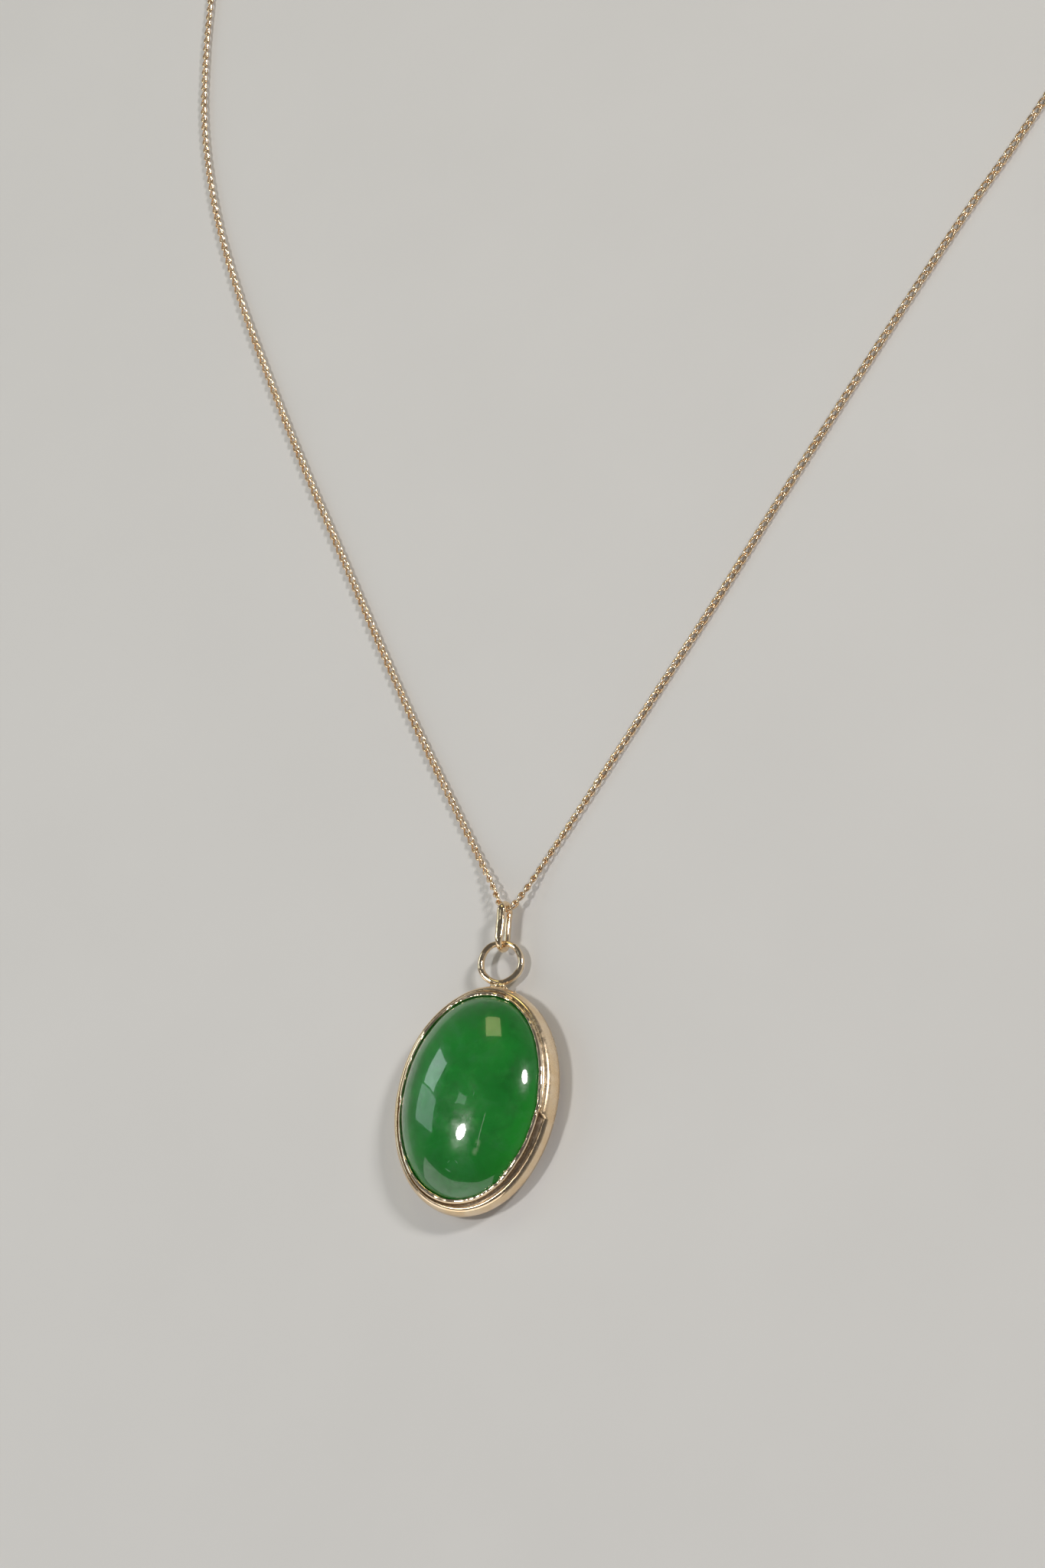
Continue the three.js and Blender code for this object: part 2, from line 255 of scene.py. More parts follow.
def step_along(C, start, pitch, count=10000):
    """Points on the polyline C, each one pitch in a straight line from the last, from the point start on."""
    pts = [np.array(start)]
    k = int(np.argmin(np.linalg.norm(C - pts[0], axis=1)))
    while len(pts) < count:
        p = pts[-1]
        while k < len(C) - 1 and np.linalg.norm(C[k] - p) < pitch:
            k += 1
        if np.linalg.norm(C[k] - p) < pitch:
            break
        a, b = C[k - 1], C[k]
        lo, hi = 0.0, 1.0
        for _ in range(30):
            m = (lo + hi) / 2
            if np.linalg.norm(a + (b - a) * m - p) < pitch:
                lo = m
            else:
                hi = m
        pts.append(a + (b - a) * hi)
    return np.array(pts)


base_link = curb_link()


def roll_at(s):
    """How the chain is turned about its own line, in degrees; s is the run from the bail link, left of it negative."""
    meet = 32 * math.exp(-((s / 3.0) ** 2))  # the two strands' turns meet on the link inside the bail link
    if s < 0:
        d = -s
        near = -34 * math.exp(-((d / 9.0) ** 2)) - meet
        return near - 25 + 7 * math.sin(d / 23.0 + 0.4) * (1 - math.exp(-d / 20))
    near = 60 * math.exp(-((s / 15.0) ** 2.0)) + meet
    return near - 12 * (1 - math.exp(-s / 20)) + 8 * math.sin(s / 19.0 + 1.0) * (1 - math.exp(-s / 25))


mid = np.array([-0.35, 17.03, 1.2])
right_side = np.concatenate([[mid], RIGHT])
left_side = np.concatenate([[mid], LEFT])


def first_joint(C):
    r = run_of(C)
    return np.array([np.interp(PITCH / 2, r, C[:, k]) for k in range(3)])


JR = step_along(right_side, first_joint(right_side), PITCH)
JL = step_along(left_side, first_joint(left_side), PITCH)


def place_links(J, sign, with_middle):
    """Links between neighbouring joints; the run is measured from the bail link."""
    V, F = [], []
    n = 0
    joints = list(J)
    pairs = list(zip(joints[:-1], joints[1:]))
    runs = [sign * (PITCH * (i + 1)) for i in range(len(pairs))]
    if with_middle:
        pairs.insert(0, (JL[0], JR[0]))
        runs.insert(0, 0.0)
    faces = link_faces()
    for k, ((a, b), s) in enumerate(zip(pairs, runs)):
        if s < 0:
            a, b = b, a  # every link points from the left end to the right end
        T = b - a
        T = T / np.linalg.norm(T)
        U = np.array([0, 0, 1.0]) - T * T[2]
        U /= np.linalg.norm(U)
        S = np.cross(T, U)
        roll = math.radians(roll_at(s) + rng.uniform(-1.0, 1.0))
        pitch = math.radians(rng.uniform(-0.4, 0.4))
        Y = S * math.cos(roll) + U * math.sin(roll)
        Z = -S * math.sin(roll) + U * math.cos(roll)
        T2 = T * math.cos(pitch) + Z * math.sin(pitch)
        Z2 = -T * math.sin(pitch) + Z * math.cos(pitch)
        c = (a + b) / 2
        P = base_link[:, :1] * T2 + base_link[:, 1:2] * Y + base_link[:, 2:3] * Z2 + c
        low = P[:, 2].min()
        lift = c[2] - 0.37
        # settle on the surface, except near the bail link, which holds the chain up
        P[:, 2] += -low + 0.004 + max(0.0, lift) * (1.0 if abs(s) > 2.5 else 1.0)
        if abs(s) < 1.5:
            P[:, 2] += (c[2] - (P[:, 2].max() + P[:, 2].min()) / 2)
        if s == 0:
            P[:, 1] -= 0.04  # clear of the bail link when that lifts
        V.append(P)
        F += [tuple(i + n for i in f) for f in faces]
        n += len(P)
    return np.concatenate(V), F, pairs[-1][1]


# ------------------------------------------------------------------ material helpers
class Nodes:
    def __init__(self, name):
        self.mat = bpy.data.materials.new(name)
        self.mat.use_nodes = True
        self.t = self.mat.node_tree
        self.t.nodes.clear()
        self.out = self.t.nodes.new("ShaderNodeOutputMaterial")
        self.bsdf = self.t.nodes.new("ShaderNodeBsdfPrincipled")
        self.t.links.new(self.bsdf.outputs[0], self.out.inputs["Surface"])
        self.co = self.t.nodes.new("ShaderNodeTexCoord").outputs["Object"]

    def put(self, socket, value):
        if isinstance(value, bpy.types.NodeSocket):
            self.t.links.new(value, socket)
        elif isinstance(value, (tuple, list)) and len(value) == 3 and socket.type == "RGBA":
            socket.default_value = (*value, 1.0)
        else:
            socket.default_value = value

    def set(self, name, value):
        self.put(self.bsdf.inputs[name], value)

    def node(self, kind, inputs=(), out=0, **props):
        n = self.t.nodes.new(kind)
        for k, v in props.items():
            setattr(n, k, v)
        for k, v in dict(inputs).items():
            self.put(n.inputs[k], v)
        return n.outputs[out]

    def scaled(self, k, rot=(0, 0, 0), loc=(0, 0, 0)):
        k = k if isinstance(k, (tuple, list)) else (k, k, k)
        return self.node("ShaderNodeMapping", {"Vector": self.co, "Scale": k, "Rotation": rot, "Location": loc})

    def noise(self, scale, detail=3.0, rough=0.5, distort=0.0, vec=None):
        """scale in features per millimetre"""
        return self.node(
            "ShaderNodeTexNoise",
            {"Vector": vec if vec is not None else self.co, "Scale": scale * 1000, "Detail": detail,
             "Roughness": rough, "Distortion": distort},
        )

    def math(self, op, a, b=0.0, c=0.0, clamp=False):
        return self.node("ShaderNodeMath", {0: a, 1: b, 2: c}, operation=op, use_clamp=clamp)

    def ramp(self, fac, lo, hi, a=0.0, b=1.0, smooth=True):
        return self.node(
            "ShaderNodeMapRange",
            {"Value": fac, "From Min": lo, "From Max": hi, "To Min": a, "To Max": b},
            interpolation_type="SMOOTHSTEP" if smooth else "LINEAR",
        )

    def mix(self, fac, a, b):
        n = self.t.nodes.new("ShaderNodeMix")
        n.data_type = "RGBA"
        self.put(n.inputs[0], fac)
        self.put(n.inputs[6], a)
        self.put(n.inputs[7], b)
        return n.outputs[2]

    def bump(self, height, strength, distance_mm, normal=None):
        d = {"Height": height, "Strength": strength, "Distance": distance_mm * MM}
        if normal is not None:
            d["Normal"] = normal
        return self.node("ShaderNodeBump", d)

    def attr(self, name):
        return self.node("ShaderNodeAttribute", out=2, attribute_name=name, attribute_type="GEOMETRY")

    def xyz(self):
        n = self.t.nodes.new("ShaderNodeSeparateXYZ")
        self.t.links.new(self.co, n.inputs[0])
        return n.outputs


def gold_material(name, base=(0.86, 0.655, 0.415), second=(0.92, 0.75, 0.54), rough=(0.07, 0.2), wave=0.5, fine=0.5,
                  grime_and_shade=False, scale=1.0):
    m = Nodes(name)
    cloud = m.noise(0.55 * scale, 3.0, 0.55)
    tone = m.mix(m.ramp(cloud, 0.35, 0.7), base, second)
    speck = m.noise(9 * scale, 4.0, 0.65)
    patches = m.ramp(m.noise(1.6 * scale, 4.0, 0.6, 0.3), 0.42, 0.72)
    r = m.math("MULTIPLY_ADD", patches, rough[1] - rough[0], rough[0])
    # long fine polishing lines in two directions
    lines = m.noise(0.001, 3.0, 0.6, vec=m.scaled((26000 * scale, 1500 * scale, 9000 * scale), (0.3, 0.2, 0.5)))
    lines2 = m.noise(0.001, 2.0, 0.6, vec=m.scaled((2100 * scale, 30000 * scale, 12000 * scale), (0.1, 0.5, -0.4)))
    both = m.math("ADD", lines, lines2)
    r = m.math("MULTIPLY_ADD", m.ramp(both, 0.85, 1.35), 0.12 * fine, r)
    r = m.math("MULTIPLY_ADD", m.ramp(speck, 0.58, 0.78), 0.10, r)
    # grime_and_shade darkens the gold towards dark brown and roughens it: real grime along the seam and in crevices,
    # and painted shade in the strip's hollow, where frame and strip meet, and on the frame wire's underside
    if grime_and_shade:
        satin = m.attr("satin")
        r = m.math("ADD", r, m.math("MULTIPLY", satin, m.ramp(m.noise(2.2, 4.0, 0.65), 0.25, 0.75, 0.10, 0.24)))
        g = m.attr("grime_and_shade")
        dirt_and_shade = m.math("MULTIPLY", g, m.ramp(m.noise(3.2, 4.0, 0.6), 0.12, 0.52, 0.35, 1.0), clamp=True)
        tone = m.mix(m.math("MULTIPLY", dirt_and_shade, 0.86), tone, (0.085, 0.052, 0.030))
        r = m.math("MULTIPLY_ADD", dirt_and_shade, 0.32, r)
    m.set("Base Color", tone)
    m.set("Metallic", 1.0)
    m.set("Roughness", m.math("MINIMUM", r, 0.75))
    big = m.noise(0.9 * scale, 2.0, 0.45)
    mid_ = m.noise(3.5 * scale, 2.0, 0.5)
    n1 = m.bump(big, 0.55 * wave, 0.060)
    n2 = m.bump(mid_, 0.35 * wave, 0.012, n1)
    n3 = m.bump(both, 0.30 * fine, 0.0016, n2)
    n4 = m.bump(speck, 0.25 * fine, 0.0020, n3)
    if grime_and_shade:
        pits = m.math("MULTIPLY", m.attr("satin"), m.noise(7.0, 3.0, 0.7))
        n4 = m.bump(pits, 0.5, 0.010, n4)
    m.set("Normal", n4)
    return m.mat


gold_band = gold_material("gold_band", wave=0.42, fine=0.8, grime_and_shade=True)
gold_lip = gold_material("gold_lip", base=(0.89, 0.70, 0.47), second=(0.94, 0.79, 0.60), rough=(0.06, 0.17), wave=0.5, fine=0.8, grime_and_shade=True)
gold_wire = gold_material("gold_wire", base=(0.87, 0.67, 0.43), second=(0.92, 0.76, 0.55), rough=(0.07, 0.2), wave=0.6, fine=0.9, scale=1.4)
gold_chain = gold_material("gold_chain", base=(0.86, 0.62, 0.38), second=(0.94, 0.75, 0.54), rough=(0.1, 0.22), wave=0.15, fine=0.6, scale=2.0)
gold_solder = gold_material("gold_solder", base=(0.82, 0.62, 0.38), second=(0.90, 0.74, 0.52), rough=(0.16, 0.34), wave=0.9, fine=1.2, scale=2.2)


def steel_material():
    m = Nodes("spring_steel")
    m.set("Base Color", m.mix(m.noise(4.0), (0.42, 0.43, 0.44), (0.58, 0.58, 0.57)))
    m.set("Metallic", 1.0)
    m.set("Roughness", m.ramp(m.noise(8.0), 0.3, 0.7, 0.22, 0.4))
    m.set("Normal", m.bump(m.noise(20.0), 0.3, 0.002))
    return m.mat


spring_steel = steel_material()


def stone_material():
    m = Nodes("jade")
    x, y, z = m.xyz()
    cloud = m.noise(0.16, 3.0, 0.55, 0.4)
    mott = m.noise(0.9, 4.0, 0.6, 0.6)
    fine = m.noise(5.0, 4.0, 0.65)
    deep, mid_, pale = (0.007, 0.190, 0.020), (0.010, 0.250, 0.026), (0.030, 0.350, 0.045)
    c = m.mix(m.ramp(cloud, 0.34, 0.66), deep, mid_)
    c = m.mix(m.math("MULTIPLY", m.ramp(mott, 0.5, 0.78), 0.30), c, pale)
    c = m.mix(m.math("MULTIPLY", m.ramp(fine, 0.56, 0.75), 0.22), c, (0.003, 0.045, 0.007))
    # painted light: a brighter green painted along the lower right edge, low on the dome, standing in for light
    # carried through the stone
    lean = m.math("ADD", m.math("MULTIPLY", x, 1000 * 0.085), m.math("MULTIPLY", y, -1000 * 0.072))
    painted_glow = m.math("MULTIPLY", m.ramp(lean, 0.25, 0.95), m.ramp(z, 4.9 * MM, 2.4 * MM))
    c = m.mix(m.math("MULTIPLY", painted_glow, 0.85), c, (0.009, 0.330, 0.008))

    # painted shade: a darker green painted towards both ends and the left side
    end_shade = m.math("MULTIPLY", m.ramp(m.math("ABSOLUTE", y), 3.2 * MM, 8.2 * MM), 0.62)
    left_shade = m.math("MULTIPLY", m.ramp(x, -3.0 * MM, -6.4 * MM), 0.60)
    c = m.mix(m.math("MAXIMUM", end_shade, left_shade), c, (0.005, 0.115, 0.012))
    veil = m.noise(0.30, 5.0, 0.62, 0.9)
    c = m.mix(m.math("MULTIPLY", m.ramp(veil, 0.50, 0.70), 0.28), c, (0.040, 0.260, 0.075))
    c = m.mix(m.math("MULTIPLY", m.ramp(veil, 0.46, 0.30), 0.35), c, (0.004, 0.120, 0.010))

    def streak(ax, ay, bx, by, wide, soft):
        """A mask along a line on the dome, seen from above, in mm."""
        dx, dy = bx - ax, by - ay
        n = math.hypot(dx, dy)
        dx, dy = dx / n, dy / n
        warp = m.math("MULTIPLY_ADD", m.noise(1.3, 2.0, 0.5), 0.16 * MM, -0.08 * MM)
        along = m.math("ADD", m.math("MULTIPLY", x, dx), m.math("MULTIPLY", y, dy))
        along = m.math("SUBTRACT", along, (ax * dx + ay * dy) * MM)
        across = m.math("ADD", m.math("MULTIPLY", x, -dy), m.math("MULTIPLY", y, dx))
        across = m.math("ADD", m.math("SUBTRACT", across, (-ax * dy + ay * dx) * MM), warp)
        side = m.ramp(m.math("ABSOLUTE", across), wide * MM, (wide + soft) * MM, 1.0, 0.0)
        ends = m.math("MULTIPLY", m.ramp(along, -0.1 * MM, 0.25 * MM), m.ramp(along, (n - 0.25) * MM, (n + 0.1) * MM, 1.0, 0.0))
        return m.math("MULTIPLY", side, ends)

    vein = streak(2.97, -1.9, 2.5, -4.7, 0.012, 0.05)
    smear = streak(2.62, -4.2, 2.2, -5.5, 0.02, 0.30)
    c = m.mix(m.math("MULTIPLY", vein, 0.7), c, (0.24, 0.40, 0.25))
    c = m.mix(m.math("MULTIPLY", m.math("MULTIPLY", smear, m.ramp(m.noise(2.4), 0.34, 0.60)), 0.55), c, (0.26, 0.40, 0.22))
    for q in ((-0.40, -6.72, 0.12, -6.95), (0.55, -6.05, 0.80, -6.28), (-0.15, -6.25, 0.05, -6.08), (1.75, -0.2, 1.72, -0.55)):
        c = m.mix(m.math("MULTIPLY", streak(*q, 0.018, 0.05), 0.6), c, (0.22, 0.42, 0.28))
    m.set("Base Color", c)
    m.set("Subsurface Weight", 1.0)
    m.set("Subsurface Radius", (0.45, 1.0, 0.5))
    m.set("Subsurface Scale", 1.1 * MM)
    m.set("IOR", 1.55)
    # a thin film of handling: patchy haze under a clear polish
    film = m.noise(0.40, 3.0, 0.55, 0.5)
    film2 = m.noise(1.7, 5.0, 0.68, 0.5)
    haze = m.math("MULTIPLY", m.ramp(film, 0.32, 0.66), m.ramp(film2, 0.25, 0.70))
    m.set("Specular IOR Level", m.math("MULTIPLY_ADD", haze, 0.44, 0.08))
    m.set("Roughness", m.math("MULTIPLY_ADD", haze, 0.03, 0.235))
    m.set("Coat Weight", 1.0)
    m.set("Coat IOR", 1.6)
    m.set("Coat Roughness", m.math("MULTIPLY_ADD", m.ramp(film2, 0.45, 0.75), 0.03, 0.022))
    wav = m.bump(m.noise(0.35, 2.0, 0.5), 0.35, 0.035)
    scr = m.noise(0.001, 2.0, 0.6, vec=m.scaled((900, 24000, 5000), (0.1, 0.0, 0.7)))
    b = m.bump(scr, 0.14, 0.0012, wav)
    pit = m.ramp(m.noise(6.0, 2.0, 0.5), 0.69, 0.76)
    b = m.bump(pit, -0.30, 0.006, b)
    m.set("Normal", b)
    m.put(m.bsdf.inputs["Coat Normal"], b)
    return m.mat


stone_mat = stone_material()


def floor_material():
    m = Nodes("pale_floor")
    n = m.noise(0.05, 4.0, 0.55)
    m.set("Base Color", m.mix(n, (0.66, 0.655, 0.645), (0.70, 0.695, 0.685)))
    m.set("Roughness", 0.62)
    m.set("Specular IOR Level", 0.25)
    m.set("Normal", m.bump(m.noise(3.0, 3.0, 0.6), 0.08, 0.01))
    return m.mat


# ------------------------------------------------------------------ shapes of the pendant (mm)
A, B = 9.25, 6.75
BASE, GIRDLE, TOP = 1.15, 1.9, 5.3
FRAME_OUT, FRAME_MID = 0.9, 1.35
SEAM = math.radians(-8.4)


def dome_z(x, y):
    r = np.minimum(np.hypot(np.asarray(x) * A / B, y) / A, 1.0)
    c = r ** (1 / 0.92)
    return GIRDLE + (TOP - GIRDLE) * np.sqrt(np.maximum(0, 1 - c * c)) ** 1.12


def oval_point(t, o, z):
    nx, ny = math.cos(t) / B, math.sin(t) / A
    n = math.hypot(nx, ny)
    return (B * math.cos(t) + o * nx / n, A * math.sin(t) + o * ny / n, z)


def around(n):
    return [2 * math.pi * i / n for i in range(n)]


def ring_noise(t, k, seed):
    """Smooth wander around the oval; k is about how many waves there are."""
    r = k / (2 * math.pi)
    return noise.noise(Vector((r * math.cos(t) + seed, r * math.sin(t) - seed, seed * 0.37)))


def set_attr(o, name, values):
    a = o.data.attributes.new(name, "FLOAT", "POINT")
    a.data.foreach_set("value", np.asarray(values, np.float32))


def oval_solid(profile, n):
    P = np.zeros((len(profile) - 2, n, 3))
    for i, (r, z) in enumerate(profile[1:-1]):
        for j, t in enumerate(around(n)):
            P[i, j] = (r * B / A * math.cos(t), r * math.sin(t), z)
    V, F = grid(P, False, True)
    V = np.vstack([V, [[0, 0, profile[0][1]], [0, 0, profile[-1][1]]]])
    k = len(V)
    last = (len(profile) - 3) * n
    for j in range(n):
        j2 = (j + 1) % n
        F.append((j2, j, k - 2))
        F.append((last + j, last + j2, k - 1))
    return V, F


# stone
prof = [(0, BASE), (A * 0.5, BASE), (A - 0.45, BASE), (A - 0.36, BASE + 0.01), (A - 0.12, BASE + 0.17), (A - 0.02, BASE + 0.29), (A, BASE + 0.36)]
for i in range(0, 72):
    a = (i / 72) ** 1.15 * math.pi / 2
    prof.append((A * math.cos(a) ** 0.92, GIRDLE + (TOP - GIRDLE) * math.sin(a) ** 1.12))
prof.append((0, TOP))
V, F = oval_solid(prof, 200)
V = V.copy()
for v in V:
    if v[2] > GIRDLE + 0.3:  # a hand-cut dome is never quite even
        k = wobble(v, 0.22, 3.0) * 0.035 + wobble(v, 0.7, 5.0) * 0.006
        w = min(1.0, (v[2] - GIRDLE - 0.3) / 1.2)
        v[2] -= abs(k) * w
stone = build("stone_dome", V, F, stone_mat, "pendant", ("stone_cabochon",))

# back plate
prof = [(0, 0.0), (A * 0.6, 0.0), (A - 0.03, 0.0), (A + 0.02, 0.012), (A + 0.22, 0.14), (A + 0.255, 0.18), (A + 0.26, 0.24), (A + 0.26, 0.40), (A + 0.235, 0.437), (A + 0.2, 0.45), (A * 0.5, 0.45), (0, 0.45)]
V, F = oval_solid(prof, 180)
plate = build("back_plate_sheet", V, F, gold_band, "pendant", ("back_plate",))
set_attr(plate, "grime_and_shade", [0.35 if v[2] > 0.3 else 0.1 for v in V])
set_attr(plate, "satin", [0.22] * len(V))
sharp_by_angle(plate, 35)

# bezel strip: upright wall, slightly hollow towards the lip, the lip rubbed down on the stone
HOLLOW = [
    (0.07, 0.53), (0.30, 0.53), (0.355, 0.57), (0.36, 0.8), (0.36, 1.4), (0.36, 1.85), (0.36, 2.0), (0.355, 2.06), (0.335, 2.10),
    (0.29, 2.125), (0.235, 2.155), (0.18, 2.20), (0.135, 2.26), (0.105, 2.33), (0.09, 2.41), (0.088, 2.49), (0.097, 2.56),
    (0.112, 2.615), (0.128, 2.66),
]
FLUSH = [
    (0.07, 0.53), (0.30, 0.53), (0.32, 0.57), (0.325, 0.8), (0.325, 1.4), (0.325, 1.85), (0.325, 2.08), (0.32, 2.16), (0.315, 2.22),
    (0.31, 2.29), (0.305, 2.36), (0.298, 2.43), (0.288, 2.50), (0.275, 2.555), (0.258, 2.60), (0.236, 2.64), (0.208, 2.67),
    (0.178, 2.69), (0.150, 2.702),
]


def step01(x):
    x = max(0.0, min(1.0, x))
    return x * x * (3 - 2 * x)


def seam_arc(t):
    """Millimetres round the strip from its seam, towards the ring, and the angle to it."""
    d = (t - SEAM + math.pi) % (2 * math.pi) - math.pi
    return d * 7.0, d


def flushness(t, u):
    """1 where the strip was rubbed down flush with the frame, above the seam; its end is cut on a slant."""
    arc, d = seam_arc(t)
    if d < -1.2:
        return 0.0
    start = step01((arc + 0.46 - 0.75 * u) / 0.30)
    return start * step01((math.radians(128) - d) / math.radians(45))


def satin_at(t):
    """Where the strip was filed and not polished again, just above the seam."""
    arc, d = seam_arc(t)
    return step01((arc + 0.3) / 0.4) * step01((math.radians(75) - d) / math.radians(45)) if d > -0.4 else 0.12


N = 560
cols, grime_and_shade = [], []
for t in around(N):
    hand = 0.022 * ring_noise(t, 26, 1.0) + 0.014 * ring_noise(t, 61, 7.0) + 0.03 * ring_noise(t, 7, 4.0)
    lift = 0.05 * ring_noise(t, 17, 9.0) + 0.024 * ring_noise(t, 47, 12.0) + 0.009 * ring_noise(t, 110, 14.0)
    edge = -0.215 + 0.085 * ring_noise(t, 9, 21.0) + 0.055 * ring_noise(t, 31, 17.0) + 0.024 * ring_noise(t, 83, 2.0)
    arc, d = seam_arc(t)
    groove = math.exp(-(((arc - 0.12) / 0.06) ** 2))
    inner = oval_point(t, edge, 0)
    zs = float(dome_z(inner[0], inner[1])) + 0.012
    top = zs + 0.20 + lift
    line, gr = [], []
    for k in range(len(HOLLOW)):
        u = k / (len(HOLLOW) - 1)
        f = flushness(t, u)
        o = HOLLOW[k][0] * (1 - f) + FLUSH[k][0] * f
        z = HOLLOW[k][1] * (1 - f) + FLUSH[k][1] * f
        up = step01((u - 0.42) / 0.5)
        fold = math.exp(-(((arc + 0.42 - 0.75 * u - 0.15) / 0.07) ** 2)) if abs(d) < 0.3 else 0.0
        z += up * (top - 2.90) + 0.03 * fold * up
        o += up * hand + up * 0.035 * fold - up * 0.05 * groove
        line.append((o, z))
        # grime_and_shade on the strip: painted shade in the hollow below the lip and along its join with the frame,
        # and darker along the seam
        cove = (1 - f) * math.exp(-(((u - 0.66) / 0.2) ** 2))
        gr.append(min(1.0, 1.15 * cove + 0.5 * groove * up + 0.5 * f * math.exp(-(((u - 0.5) / 0.08) ** 2))))
    o0, z0 = line[-1]
    lip = [
        (o0 - 0.004, top - 0.195), (o0 - 0.016, top - 0.150), (o0 - 0.038, top - 0.100), (o0 - 0.072, top - 0.055),
        (o0 - 0.115, top - 0.025), (edge + 0.10, top - 0.010), (edge + 0.055, top - 0.028), (edge + 0.02, top - 0.07),
        (edge + 0.002, zs + 0.075), (edge, zs + 0.03), (edge + 0.012, zs + 0.004),
    ]
    # the lip's foot against the stone (k >= 9) gets painted shade; the seam darkens it too
    for k, (o, z) in enumerate(lip):
        line.append((o - 0.03 * groove, z - 0.05 * groove))
        gr.append(0.6 * groove + (0.5 if k >= 9 else 0.0))
    for o in (edge + 0.06, edge + 0.12):
        p = oval_point(t, min(o, -0.01), 0)
        line.append((min(o, -0.01), float(dome_z(p[0], p[1])) + 0.006))
        gr.append(0.8)
    line += [(0.012, 2.1), (0.03, 1.95), (0.05, 1.6), (0.06, 1.0)]
    gr += [0.8, 0.8, 0.8, 0.8]
    cols.append([oval_point(t, o, z) for o, z in line])
    grime_and_shade.append(gr)
V, F = grid(np.array(cols), True, True)
cup = build("bezel_strip", V, F, gold_lip, "pendant", ("bezel_cup",))
set_attr(cup, "grime_and_shade", np.array(grime_and_shade).ravel())
set_attr(cup, "satin", [satin_at(t) * (0.25 + 0.75 * (k < 20)) for t in around(N) for k in range(len(cols[0]))])

# half-round frame around the strip
N, K = 460, 36
cols, grime_and_shade = [], []
for t in around(N):
    out = FRAME_OUT + 0.022 * ring_noise(t, 8, 31.0) + 0.016 * ring_noise(t, 25, 33.0) - 0.014
    mid_z = FRAME_MID + 0.02 * ring_noise(t, 6, 37.0)
    half = 0.785 + 0.018 * ring_noise(t, 12, 39.0)
    f = flushness(t, 0.45)
    d = seam_arc(t)[1]
    low = 0.62 * step01((-math.degrees(d) - 62) / 40)
    low = max(low, 0.62 * step01((math.degrees(d) - 120) / 40))
    f = max(f, low)
    line, gr = [], []
    for i in range(K + 1):
        a = -math.pi / 2 + math.pi * i / K
        c, s_ = math.cos(a), math.sin(a)
        o = 0.385 + (out - 0.385) * abs(c) ** 0.86
        z = mid_z + half * math.copysign(abs(s_) ** 0.94, s_)
        if a > 0:  # rubbed up over the strip as one rounded face
            of = 0.27 + (out - 0.27) * c ** 0.95
            zf = mid_z + (2.625 + 0.02 * ring_noise(t, 9, 3.0) - mid_z) * s_ ** 0.98
            o, z = o * (1 - f) + of * f, z * (1 - f) + zf * f
        line.append((o, z))
        # grime_and_shade on the frame: painted shade along its top where it meets the strip, and on the wire's
        # underside
        gr.append((0.8 - 0.6 * f) * math.exp(-(((90 - math.degrees(a)) / 11) ** 2)) + 0.45 * max(0.0, -s_) ** 1.5)
    line.append((0.375 - 0.11 * f, mid_z + half * 0.55))
    line.append((0.375, mid_z - half * 0.55))
    gr += [0.6, 0.6]
    cols.append([oval_point(t, o, z) for o, z in line])
    grime_and_shade.append(gr)
V, F = grid(np.array(cols), True, True)
band = build("bezel_frame_wire", V, F, gold_band, "pendant", ("bezel_frame",))
set_attr(band, "grime_and_shade", np.array(grime_and_shade).ravel())
set_attr(band, "satin", [satin_at(t) for t in around(N) for k in range(len(cols[0]))])

# the bearing under the stone keeps its CAD shape
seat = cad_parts["bezel_seat"]
seat.data.materials.clear()
seat.data.materials.append(gold_solder)


def loop_wire(name, centre, ax, ay, R, wire, body, node, mat, n=150, sides=20, uneven=0.02, squeeze=0.0, seed=0.0, split=None):
    """A ring of round wire in the plane of ax and ay, a little uneven; split is the angle of its fine butt joint."""
    ax, ay = np.array(ax, float), np.array(ay, float)
    C, r = [], []
    for i in range(n):
        a = 2 * math.pi * i / n
        k = 1 + uneven * 0.5 * noise.noise(Vector((math.cos(a) * 0.9 + seed, math.sin(a) * 0.9, seed)))
        k += squeeze * math.cos(2 * a)
        C.append(np.array(centre) + R * k * (math.cos(a) * ax + math.sin(a) * ay))
        w = wire * (1 - abs(uneven * noise.noise(Vector((math.cos(a) * 2.4 + seed, math.sin(a) * 2.4 - seed, 5)))))
        if split is not None:
            d = abs((a - split + math.pi) % (2 * math.pi) - math.pi) * R
            w *= 1 - 0.16 * math.exp(-((d / 0.035) ** 2))
        r.append(w)
    V, F = tube(C, r, sides, closed=True, first=np.cross(ax, ay))
    return build(name, V, F, mat, body, (node,))


turn = math.radians(12)
RX = np.array([math.cos(turn), 0, -math.sin(turn)])
C, r = [], []
for i in range(240):
    a = 2 * math.pi * i / 240
    k = 1 + 0.010 * math.cos(5 * a + 0.9) + 0.008 * math.cos(3 * a - 0.4) + 0.012 * noise.noise(Vector((2.2 * math.cos(a), 2.2 * math.sin(a), 2.0)))
    k -= 0.012 * step01((math.cos(a - math.pi / 2) - 0.80) / 0.2)  # stays clear of the link at the top
    C.append(np.array([0, 12.45, 1.1]) + 1.8 * k * (math.cos(a) * RX + math.sin(a) * np.array([0, 1.0, 0])))
    side = 0.5 - 0.5 * math.cos(2 * a)  # 0 at the sides, 1 at top and bottom
    w = 0.292 - 0.036 * side * step01(math.sin(a) + 0.2) + 0.010 * noise.noise(Vector((3.4 * math.cos(a), 3.4 * math.sin(a), 7.0)))
    w += 0.020 * math.exp(-(((a - math.radians(197)) / 0.22) ** 2)) + 0.014 * math.exp(-(((a - math.radians(338)) / 0.3) ** 2))
    r.append(w)


